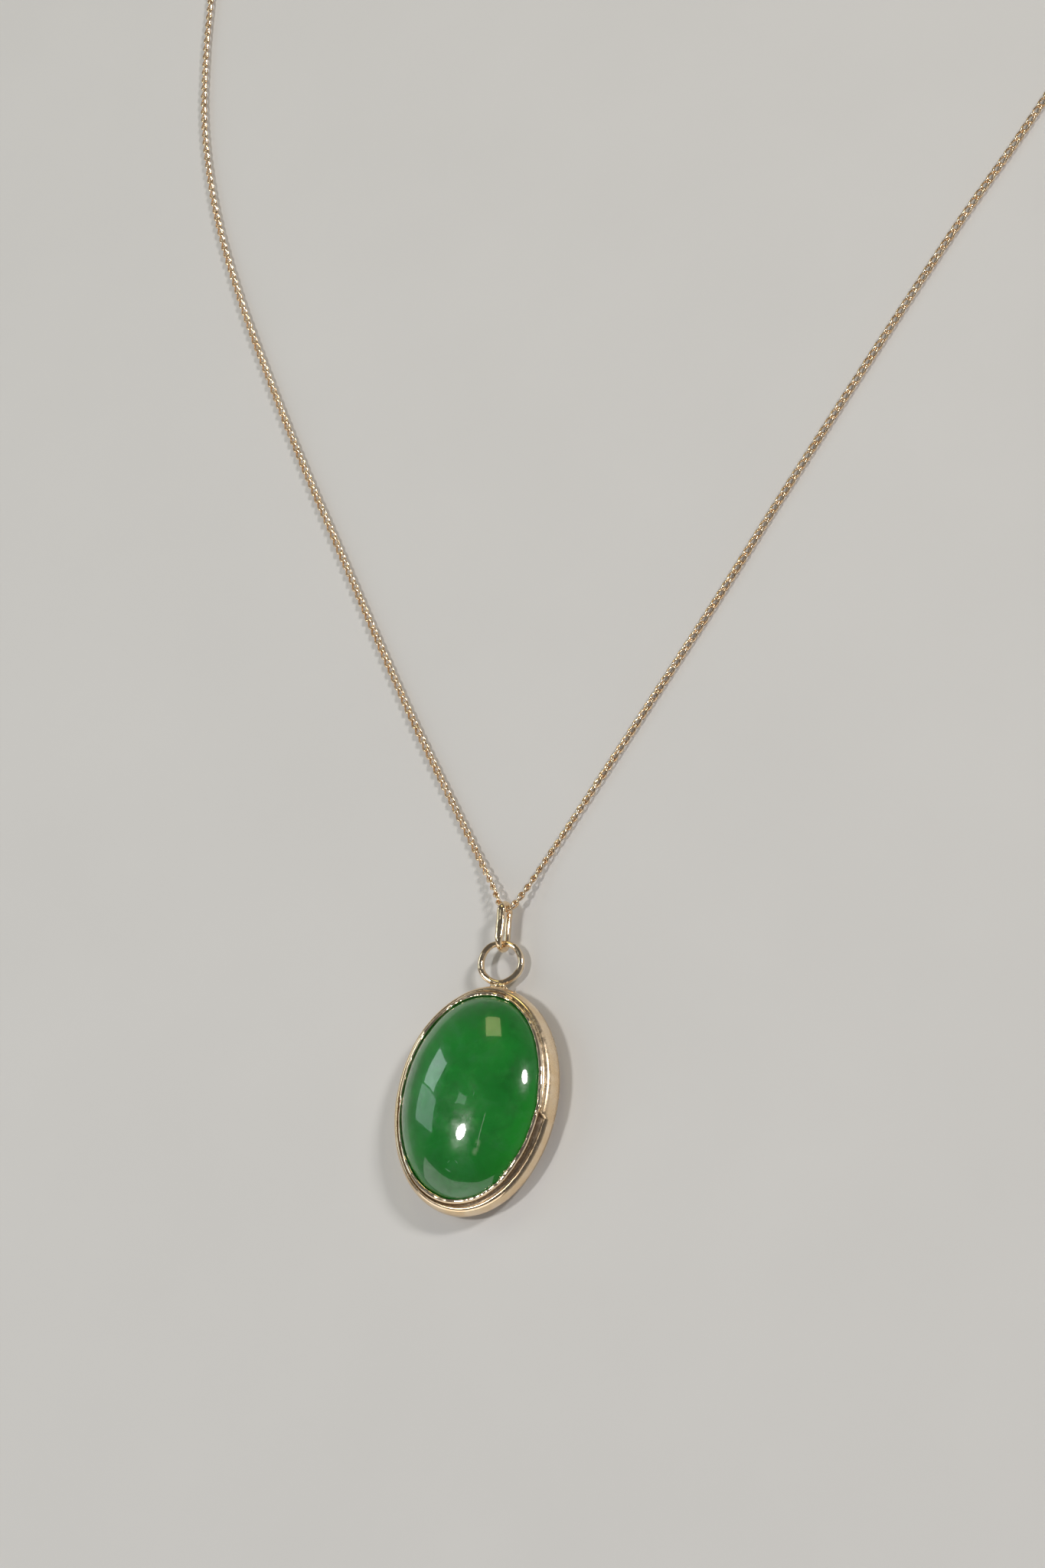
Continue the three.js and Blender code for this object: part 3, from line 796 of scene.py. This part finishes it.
def flats(i, ph):
    """The wire is lightly hammered and filed."""
    return 1 - 0.05 * np.array([abs(noise.noise(Vector((i * 0.045, math.cos(p) * 1.3, math.sin(p) * 1.3)))) for p in ph])


V, F = tube(C, r, 28, closed=True, first=np.cross(RX, [0, 1.0, 0]), shape=flats)
hang = build("hanging_ring_wire", V, F, gold_wire, "pendant", ("hanging_ring",))


# solder between the ring and the frame
def blob(centre, radii, nu=40, nv=26, seed=0.0, rough=0.10):
    P = np.zeros((nv - 1, nu, 3))
    for i in range(1, nv):
        la = -math.pi / 2 + math.pi * i / nv
        for j in range(nu):
            lo = 2 * math.pi * j / nu
            d = np.array([math.cos(la) * math.cos(lo), math.cos(la) * math.sin(lo), math.sin(la)])
            k = 1 + rough * noise.noise(Vector(d * 1.4) + Vector((seed, 0, 0))) - rough * 0.5
            P[i - 1, j] = np.array(centre) + d * np.array(radii) * k
    V, F = grid(P, False, True)
    c = np.array(centre)
    V = np.vstack([V, [c - [0, 0, radii[2]], c + [0, 0, radii[2]]]])
    n = len(V)
    for j in range(nu):
        j2 = (j + 1) % nu
        F.append((j2, j, n - 2))
        F.append(((nv - 2) * nu + j, (nv - 2) * nu + j2, n - 1))
    return V, F


V, F = join([
    blob((0.10, 10.30, 1.20), (0.80, 0.34, 0.40), 56, 36, seed=1.0, rough=0.16),
    blob((2.06, 9.66, 1.62), (0.20, 0.15, 0.17), 28, 18, seed=4.0, rough=0.2),
    blob((1.02, 10.02, 1.62), (0.34, 0.13, 0.17), 32, 20, seed=8.0, rough=0.25),
])
solder = build("solder_fillet", V, F, gold_solder, "pendant", ("ring_solder",))

# bail link
path, seg = [], []
H, Y0, Y1, ZC = 0.82, 13.65, 17.7, 1.22
legs = (Y1 - Y0) - 2 * H
total = 2 * math.pi * H + 2 * legs
N = 260
for i in range(N):
    s = total * i / N
    if s < math.pi * H:
        a = s / H
        y, z = Y1 - H + H * math.sin(a), H * math.cos(a)
    elif s < math.pi * H + legs:
        y, z = Y1 - H - (s - math.pi * H), -H
    elif s < 2 * math.pi * H + legs:
        a = (s - math.pi * H - legs) / H
        y, z = Y0 + H - H * math.sin(a), -H * math.cos(a)
    else:
        y, z = Y0 + H + (s - 2 * math.pi * H - legs), H
    # legs are pinched very slightly together, as the link was bent by hand
    z *= 1 - 0.14 * math.sin(math.pi * (y - Y0) / (Y1 - Y0)) ** 2
    path.append((-0.05 - 0.3 * (y - Y0) / (Y1 - Y0) + 0.012 * math.sin(s * 1.7), y, ZC + z))
r = [0.285 * (1 - 0.05 * abs(noise.noise(Vector((p[1] * 0.9, p[2] * 1.1, 3.3))))) for p in path]
front = [step01((p[2] - 1.55) / 0.4) * step01((p[1] - 14.0) / 0.7) * step01((17.6 - p[1]) / 0.6) for p in path]
bulge = [math.exp(-(((p[1] - 15.55) / 0.42) ** 2)) for p in path]


def strap(i, ph):
    """The link is flattened: its front leg is broad, and bulges where the tool held it."""
    k = 1 + np.abs(np.cos(ph)) ** 2 * front[i] * 0.42
    k += np.where(np.cos(ph) * side_sign < 0, 1, 0) * np.cos(ph) ** 2 * front[i] * bulge[i] * 0.16
    facet = np.array([abs(noise.noise(Vector((path[i][1] * 0.9 + 3, math.cos(p) * 1.2, math.sin(p) * 1.2 + path[i][2])))) for p in ph])
    return k * (1 - 0.07 * facet)


side_sign = 1.0
V, F = tube(path, r, 32, closed=True, first=(1, 0, 0), shape=strap)
bail = build("bail_link_wire", V, F, gold_wire, "bail", ("bail_link",))


# ------------------------------------------------------------------ chain ends
def lean_axes(deg):
    s, c = math.sin(math.radians(deg)), math.cos(math.radians(deg))
    return np.array([1.0, 0, 0]), np.array([0, -s, c])


U_L, V_L = lean_axes(30)
U_R, V_R = lean_axes(20)
C_L, C_R = np.array([-8.9, 121.5, 1.336]), np.array([10.5, 121.625, 1.4316])
ring_l = loop_wire("end_ring_left_wire", C_L, U_L, V_L, 1.3, 0.2, "left_end_ring", "end_ring_left", gold_wire, uneven=0.012, seed=5.0, split=2.0)
ring_r = loop_wire("end_ring_right_wire", C_R, U_R, V_R, 1.3, 0.2, "right_end_ring", "end_ring_right", gold_wire, uneven=0.012, seed=8.0, split=1.2)
eye = loop_wire("clasp_eye_wire", (-8.0, 121.9, 0.8), (1, 0, 0), (0, 1, 0), 1.0, 0.2, "clasp", "clasp_eye", gold_wire, n=120, uneven=0.01, seed=3.0)
tilt = math.radians(16)
catch = loop_wire("catch_ring_wire", (8.9, 121.825, 0.75), (math.cos(tilt), 0, math.sin(tilt)), (0, 1, 0), 1.7, 0.25,
                  "catch", "catch_ring", gold_wire, n=180, sides=22, uneven=0.012, seed=9.0)

# clasp: a hollow ring of tube with a slot for the thumb tab
CX, CY, CZ = -4.0, 121.9, 0.61
R0, TUBE, BORE = 2.15, 0.6, 0.42


def arc_ring(a, rad, phis):
    ca, sa = math.cos(a), math.sin(a)
    return [(CX + (R0 + rad * math.cos(p)) * ca, CY + (R0 + rad * math.cos(p)) * sa, CZ + rad * math.sin(p)) for p in phis]


def clasp_shell():
    JS = 4  # columns from the middle of the outer wall to the slot's edge
    NP = 48
    po, pi_ = math.asin(0.25 / TUBE), math.asin(0.25 / BORE)

    def phis(edge):
        first = [edge * k / JS for k in range(JS + 1)]
        rest = NP - 2 * JS
        out = first + [edge + (2 * math.pi - 2 * edge) * k / rest for k in range(1, rest)]
        out += [2 * math.pi - edge + edge * k / JS for k in range(JS)]
        return out

    outer_p, inner_p = phis(po), phis(pi_)
    marks = [80, 192, 244, 314, 385]
    steps = [44, 22, 34, 30]
    A_ = []
    for k in range(4):
        A_ += [marks[k] + (marks[k + 1] - marks[k]) * i / steps[k] for i in range(steps[k])]
    A_.append(385)
    n = len(outer_p)
    rows_o, rows_i, idx_i = [], [], []
    for a in A_:
        rad_ = TUBE
        rows_o.append(arc_ring(math.radians(a), rad_, outer_p))
    # rounded rims at both ends
    start = [(80.0, 0.50), (80.35, 0.555), (80.9, 0.585)]
    end = [(384.1, 0.585), (384.65, 0.555), (385.0, 0.50)]
    rows_o = [arc_ring(math.radians(a), q, outer_p) for a, q in start] + [r for r, a in zip(rows_o, A_) if 81.5 < a < 383.5] + [
        arc_ring(math.radians(a), q, outer_p) for a, q in end]
    A_o = [a for a, _ in start] + [a for a in A_ if 81.5 < a < 383.5] + [a for a, _ in end]
    A_i = [a for a in A_ if a >= 192 - 1e-6]
    rows_i = [arc_ring(math.radians(a), BORE, inner_p) for a in A_i]
    Vo, Vi = np.array(rows_o), np.array(rows_i)
    V = np.concatenate([Vo.reshape(-1, 3), Vi.reshape(-1, 3)])
    off = len(rows_o) * n
    F = []

    def in_slot(a0, a1, j):
        return a0 >= 244 - 1e-6 and a1 <= 314 + 1e-6 and (j < JS or j >= n - JS)

    for i in range(len(A_o) - 1):
        for j in range(n):
            if in_slot(A_o[i], A_o[i + 1], j):
                continue
            j2 = (j + 1) % n
            F.append((i * n + j, i * n + j2, (i + 1) * n + j2, (i + 1) * n + j))
    for i in range(len(A_i) - 1):
        for j in range(n):
            if in_slot(A_i[i], A_i[i + 1], j):
                continue
            j2 = (j + 1) % n
            F.append((off + i * n + j, off + (i + 1) * n + j, off + (i + 1) * n + j2, off + i * n + j2))
    # closed ends: the far end's face, the bottom of the bore, the open rim
    F.append(tuple(range(n))[::-1])
    F.append(tuple(off + j for j in range(n)))
    lo, li = (len(A_o) - 1) * n, off + (len(A_i) - 1) * n
    for j in range(n):
        j2 = (j + 1) % n
        F.append((lo + j, lo + j2, li + j2, li + j))
    # walls of the slot
    io = [i for i, a in enumerate(A_o) if 244 - 1e-6 <= a <= 314 + 1e-6]
    ii = [i for i, a in enumerate(A_i) if 244 - 1e-6 <= a <= 314 + 1e-6]
    for k in range(len(io) - 1):
        o0, o1, i0, i1 = io[k] * n, io[k + 1] * n, off + ii[k] * n, off + ii[k + 1] * n
        F.append((o0 + JS, o1 + JS, i1 + JS, i0 + JS)[::-1])
        F.append((o0 + n - JS, o1 + n - JS, i1 + n - JS, i0 + n - JS))
    cols = list(range(n - JS, n)) + list(range(0, JS))
    for e, flip in ((0, False), (-1, True)):
        for j in cols:
            j2 = (j + 1) % n
            q = (io[e] * n + j, io[e] * n + j2, off + ii[e] * n + j2, off + ii[e] * n + j)
            F.append(q if flip else q[::-1])
    return V, F


V, F = clasp_shell()
shell = build("clasp_shell", V, F, gold_wire, "clasp", ("clasp_body",))
sharp_by_angle(shell, 38)


def arc_line(radius, a0, a1, n, z=0.0):
    return [(CX + radius * math.cos(math.radians(a0 + (a1 - a0) * i / (n - 1))),
             CY + radius * math.sin(math.radians(a0 + (a1 - a0) * i / (n - 1))), CZ + z) for i in range(n)]


parts = [tube(arc_line(R0, -51.0, 69.4, 110), 0.32, 22, first=(0, 0, 1), cap="round")]
ta = math.radians(-54)
d = np.array([math.cos(ta), math.sin(ta), 0])
c0 = np.array([CX, CY, CZ])
line = [c0 + d * q for q in np.linspace(R0 - 0.02, R0 + 1.22, 26)]
parts.append(tube(line, np.interp(np.linspace(0, 1, 26), [0, 0.2, 0.7, 1], [0.2, 0.19, 0.17, 0.2]), 20, first=(0, 0, 1)))
parts.append(blob(c0 + d * (R0 + 1.3), (0.3, 0.3, 0.27), 32, 20, seed=2.0, rough=0.02))
V, F = join(parts)
bolt = build("clasp_bolt_and_tab", V, F, gold_wire, "bolt", ("clasp_bolt",))

turns = 11
pts = []
for i in range(turns * 16 + 1):
    q = i / (turns * 16)
    a = math.radians(-165.2 + (47.2) * q)
    p = 2 * math.pi * turns * q
    rr = 0.225
    pts.append((CX + (R0 + rr * math.cos(p)) * math.cos(a), CY + (R0 + rr * math.cos(p)) * math.sin(a), CZ + rr * math.sin(p)))
V, F = tube(pts, 0.05, 8, cap="round")
spring = build("clasp_spring_coil", V, F, spring_steel, "clasp", ("clasp_spring",))


# ------------------------------------------------------------------ chain
def connecting_link(J, P, tangent, wire=0.11, far=0.2, half=0.36, nu=48, nv=12):
    """A small ring from the chain's last joint J round the end ring's wire at P."""
    J, P = np.array(J, float), np.array(P, float)
    dirn = P - J
    L = np.linalg.norm(dirn)
    dirn /= L
    nrm = tangent - dirn * (tangent @ dirn)
    nrm /= np.linalg.norm(nrm)
    w = np.cross(nrm, dirn)
    a0, a1 = J - dirn * wire, P + dirn * (far + wire)
    c, hl = (a0 + a1) / 2, np.linalg.norm(a1 - a0) / 2
    t = np.linspace(0, 2 * math.pi, nu, endpoint=False)
    ct, st = np.cos(t), np.sin(t)
    x = hl * np.sign(ct) * np.abs(ct) ** 0.85
    y = half * np.sign(st) * np.abs(st) ** 0.85
    C = c + x[:, None] * dirn + y[:, None] * w
    return tube(C, wire, nv, closed=True, first=nrm)


def side_run(C, end):
    """The dense line cut short of the end ring and led up to the last joint."""
    C = np.asarray(C)
    end = np.array(end, float)
    keep = [p for p in C]
    # stop 1.6 mm before the end point, then go there smoothly
    r = run_of(C)
    i = int(np.searchsorted(r, r[-1] - 2.3))
    a = C[i]
    extra = [a + (end - a) * q for q in np.linspace(0, 1, 40)[1:]]
    for k, q in enumerate(np.linspace(0, 1, 40)[1:]):
        extra[k] = a + (end - a) * q
        extra[k][2] = a[2] + (end[2] - a[2]) * q * q
    return np.concatenate([C[: i + 1], np.array(extra)])


def joints_to(C, end):
    lo, hi = PITCH * 0.99, PITCH * 1.01
    def steps(p):
        r = run_of(C)
        s = np.array([np.interp(p / 2, r, C[:, k]) for k in range(3)])
        return step_along(C, s, p)
    count = len(steps(PITCH)) + 0
    # the pitch at which joint number count falls exactly on the end
    for _ in range(14):
        m_ = (lo + hi) / 2
        if len(steps(m_)) > count:
            lo = m_
        else:
            hi = m_
    J = steps(lo)[:count + 1]
    return J, lo


END_L, END_R = (-10.55, 122.0, 0.45), (12.15, 122.0, 0.47)
run_left = side_run(left_side, END_L)
run_right = side_run(right_side, END_R)
JL, pitch_l = joints_to(run_left, END_L)
JR, pitch_r = joints_to(run_right, END_R)
vl, fl, last_l = place_links(JL, -1, True)
vr, fr, last_r = place_links(JR, 1, False)


def on_ring(C, u, v, deg, R=1.3):
    a = math.radians(deg)
    return C + R * (math.cos(a) * u + math.sin(a) * v), -math.sin(a) * u + math.cos(a) * v


PL, TL_ = on_ring(C_L, U_L, V_L, -145)
PR, TR_ = on_ring(C_R, U_R, V_R, -35)
VL, FL = join([(vl, fl), connecting_link(JL[-1], PL, TL_)])
VR, FR = join([(vr, fr), connecting_link(JR[-1], PR, TR_)])
chain_l = build("chain_left_links", VL, FL, gold_chain, "chain", ("chain_left",), orient=False)
chain_r = build("chain_right_links", VR, FR, gold_chain, "chain", ("chain_right",), orient=False)


# ------------------------------------------------------------------ floor and light
bpy.ops.mesh.primitive_plane_add(size=4.0, location=(0, 0, -0.00003))
floor = bpy.context.object
floor.name = "floor"
floor.data.materials.append(floor_material())

FOCUS = Vector((0, 0, 0.003))


def area(name, direction, dist, half_x, half_y, radiance, color=(1, 1, 1), roll=0.0):
    d = Vector(direction).normalized()
    L = bpy.data.lights.new(name, "AREA")
    L.shape = "RECTANGLE"
    L.size = 2 * dist * math.tan(math.radians(half_x))
    L.size_y = 2 * dist * math.tan(math.radians(half_y))
    L.energy = radiance * math.pi * L.size * L.size_y
    L.color = color
    o = bpy.data.objects.new(name, L)
    bpy.context.scene.collection.objects.link(o)
    o.location = FOCUS + d * dist
    o.rotation_mode = "QUATERNION"
    o.rotation_quaternion = d.to_track_quat("Z", "Y") @ Matrix.Rotation(math.radians(roll), 3, "Z").to_quaternion()
    return o




def softbox(name, corners, dist, radiance, color=(1, 1, 1), k=1.0, shape="RECTANGLE"):
    """A soft light whose face fills the four directions, seen from the pendant."""
    c = [Vector(q).normalized() for q in corners]
    m_ = (c[0] + c[1] + c[2] + c[3]).normalized()
    p = [q * (dist / q.dot(m_)) for q in c]
    ex = ((p[1] - p[0]) + (p[2] - p[3])) / 2
    ey = ((p[0] - p[3]) + (p[1] - p[2])) / 2
    X = ex.normalized()
    Y = (ey - X * ey.dot(X)).normalized()
    Z = X.cross(Y)
    if Z.dot(m_) < 0:
        X, Z = -X, -Z
    L = bpy.data.lights.new(name, "AREA")
    L.shape = shape
    L.size = ex.length * k
    L.size_y = ey.length * k
    L.energy = radiance * math.pi * L.size * L.size_y * (math.pi / 4 if shape == "ELLIPSE" else 1)
    L.color = color
    o = bpy.data.objects.new(name, L)
    bpy.context.scene.collection.objects.link(o)
    R = Matrix((X, Y, Z)).transposed().to_4x4()
    R.translation = FOCUS + (p[0] + p[1] + p[2] + p[3]) / 4
    o.matrix_world = R
    return o


softbox("key", [(-.403, -.006, .915), (-.27, -.018, .963), (-.224, -.174, .959), (-.373, -.158, .914)], 0.75, 62.0, (1.0, 0.97, 0.93), 0.92, "ELLIPSE")
softbox("right", [(.555, .49, .672), (.715, .523, .464), (.812, .322, .486), (.644, .305, .702)], 0.75, 58.0, (1.0, 0.96, 0.93), 0.68, "ELLIPSE")
softbox("window upper", [(-.780, .474, .409), (-.662, .384, .645), (-.690, .160, .672), (-.869, .265, .346)], 0.9, 2.7, (0.82, 0.95, 1.0), 0.90)
softbox("window lower", [(-.869, .265, .346), (-.690, .160, .672), (-.722, -.065, .689), (-.952, .055, .29)], 0.9, 1.5, (0.80, 0.96, 1.0), 0.92)
softbox("square", [(-.265, .816, .514), (-.037, .889, .457), (.03, .699, .714), (-.211, .64, .739)], 0.8, 2.4, (1.0, 0.90, 0.42))
softbox("low front", [(-.86, -.30, .46), (.42, -.74, .50), (.50, -.86, .06), (-.93, -.36, .06)], 0.9, 1.05, (1.0, 0.98, 0.96), 1.0)
softbox("patch", [(-.47, .25, .85), (-.29, .185, .94), (-.33, .12, .935), (-.456, .126, .881)], 0.8, 1.4, (0.85, 1.0, 0.97), 0.8)

world = bpy.data.worlds.new("studio")
bpy.context.scene.world = world
world.use_nodes = True
wt = world.node_tree
wt.nodes.clear()
wo = wt.nodes.new("ShaderNodeOutputWorld")
bg = wt.nodes.new("ShaderNodeBackground")
wt.links.new(bg.outputs[0], wo.inputs[0])
tc = wt.nodes.new("ShaderNodeTexCoord")
sp = wt.nodes.new("ShaderNodeSeparateXYZ")
wt.links.new(tc.outputs["Generated"], sp.inputs[0])
rp = wt.nodes.new("ShaderNodeValToRGB")
rp.color_ramp.elements[0].position = 0.0
rp.color_ramp.elements[0].color = (0.34, 0.33, 0.32, 1)
rp.color_ramp.elements[1].position = 1.0
rp.color_ramp.elements[1].color = (0.10, 0.10, 0.105, 1)
e = rp.color_ramp.elements.new(0.22)
e.color = (0.22, 0.215, 0.21, 1)
e = rp.color_ramp.elements.new(0.55)
e.color = (0.10, 0.10, 0.105, 1)
wt.links.new(sp.outputs[2], rp.inputs[0])
wt.links.new(rp.outputs[0], bg.inputs[0])

bpy.context.scene.view_settings.view_transform = "Standard"
bpy.context.scene.view_settings.look = "None"
